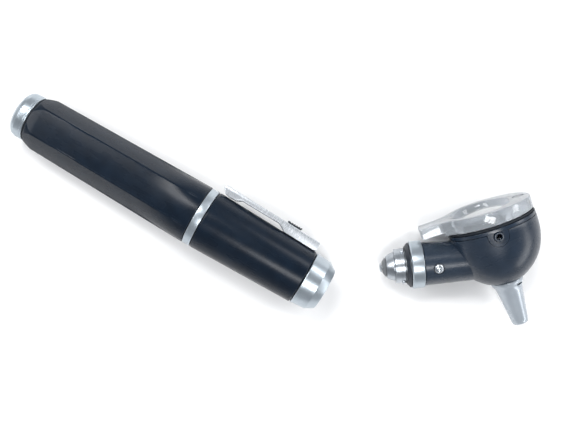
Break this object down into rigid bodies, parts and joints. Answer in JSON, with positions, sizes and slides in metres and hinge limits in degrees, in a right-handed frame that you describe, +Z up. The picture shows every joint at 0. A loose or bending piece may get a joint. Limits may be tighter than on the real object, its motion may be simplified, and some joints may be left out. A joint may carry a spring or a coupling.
{
  "type": "otoscope",
  "caption": "Pocket otoscope: hexagonal-grip battery handle with side clip and slide switch, and a separate head with swivelling lens plate and ear speculum.",
  "frame": {"origin": "middle of the lay-out's plan box, on the table", "axes": "+X along the handle from its tail to its socket end, +Y to the clip's side, where the head lies, +Z up from the table"},
  "size_m": [0.1908, 0.0762, 0.028],
  "materials": {
    "anodised_black": "blue-black satin anodised aluminium",
    "black_plastic": "blue-black satin moulded plastic",
    "satin_silver": "satin machined",
    "bright_steel": "bright plated spring steel",
    "brass": "machined",
    "spring_steel": "drawn wire or turned steel",
    "rubber_black": "moulded",
    "nylon_white": "moulded",
    "speculum_grey": "satin moulded",
    "clear_acrylic": "grey-tinted clear acrylic",
    "optical_glass": "polished",
    "battery_jacket": "shrunk plastic sleeve"
  },
  "bodies": {
    "handle": {"grip_barrel": "anodised_black", "battery_rear": "battery_jacket", "battery_front": "battery_jacket", "mid_ring": "satin_silver", "front_sleeve": "anodised_black", "socket_cap": "satin_silver", "battery_contact": "brass", "socket_insulator": "nylon_white", "switch_contact": "spring_steel"},
    "tail_spring_set": {"tail_spring_seat": "brass", "tail_spring": "spring_steel"},
    "tail_cap": {"tail_cap": "satin_silver", "tail_cap_seal": "rubber_black"},
    "contact_pin": {"contact_pin": "brass", "contact_spring": "spring_steel"},
    "clip": {"clip": "bright_steel", "clip_rivet_1": "spring_steel", "clip_rivet_2": "spring_steel"},
    "switch": {"switch_slider": "black_plastic"},
    "head": {"head_shell": "black_plastic", "eyepiece_cover": "black_plastic", "rim_gasket": "rubber_black", "air_port": "black_plastic", "neck_collar": "satin_silver", "collar_front_ring": "black_plastic", "bayonet_plug": "satin_silver", "neck_screw": "bright_steel", "light_guide": "optical_glass", "nose_cone": "satin_silver", "lens_pivot_screw": "spring_steel", "pivot_washer": "spring_steel", "pivot_nut": "spring_steel"},
    "lamp": {"plug_insulator": "black_plastic", "plug_contact": "satin_silver", "lamp_base": "brass", "lamp_bulb": "optical_glass"},
    "lens": {"lens_plate": "clear_acrylic", "magnifying_lens": "optical_glass"},
    "speculum": {"speculum": "speculum_grey"}
  },
  "joints": [
    {"name": "head_carry", "type": "hinge", "parent": "handle", "child": "head", "pos_m": [0.0181, -0.00667, 0.02027], "axis": [-0.513, -0.0649, -0.8559], "range_deg": [0, 43.32]},
    {"name": "lens_swivel", "type": "hinge", "parent": "head", "child": "lens", "pos_m": [0.07016, 0.03327, 0.01591], "axis": [-0.7703, 0.6241, 0.131], "range_deg": [0, 85]},
    {"name": "speculum_twist", "type": "hinge", "parent": "head", "child": "speculum", "pos_m": [0.08216, 0.00752, 0.01065], "axis": [0.7703, -0.6241, -0.131], "range_deg": [0, 40]},
    {"name": "lamp_pull", "type": "slide", "parent": "head", "child": "lamp", "axis": [-0.805, -0.5827, -0.1114], "range_m": [0, 0.005]},
    {"name": "tail_cap_travel", "type": "slide", "parent": "handle", "child": "tail_spring_set", "axis": [-0.9992, 0, -0.0392], "range_m": [0, 0.0033]},
    {"name": "tail_cap_turn", "type": "hinge", "parent": "tail_spring_set", "child": "tail_cap", "pos_m": [-0.09217, -0.02726, 0.00835], "axis": [-0.9992, 0, -0.0392], "range_deg": [0, 1080]},
    {"name": "contact_pin_press", "type": "slide", "parent": "handle", "child": "contact_pin", "axis": [-0.9992, 0, -0.0392], "range_m": [0, 0.0007], "stiffness_N_per_m": 400},
    {"name": "clip_flex", "type": "hinge", "parent": "handle", "child": "clip", "pos_m": [0.01674, -0.01731, 0.01263], "axis": [0.0392, 0, -0.9992], "range_deg": [0, 5], "stiffness_Nm_per_rad": 3},
    {"name": "switch_slide", "type": "slide", "parent": "clip", "child": "switch", "axis": [0.9992, 0, 0.0392], "range_m": [0, 0.0036]}
  ],
  "couplings": [
    {"joint": "tail_cap_turn", "follows": "tail_cap_travel", "rad_per_m": 5712}
  ]
}
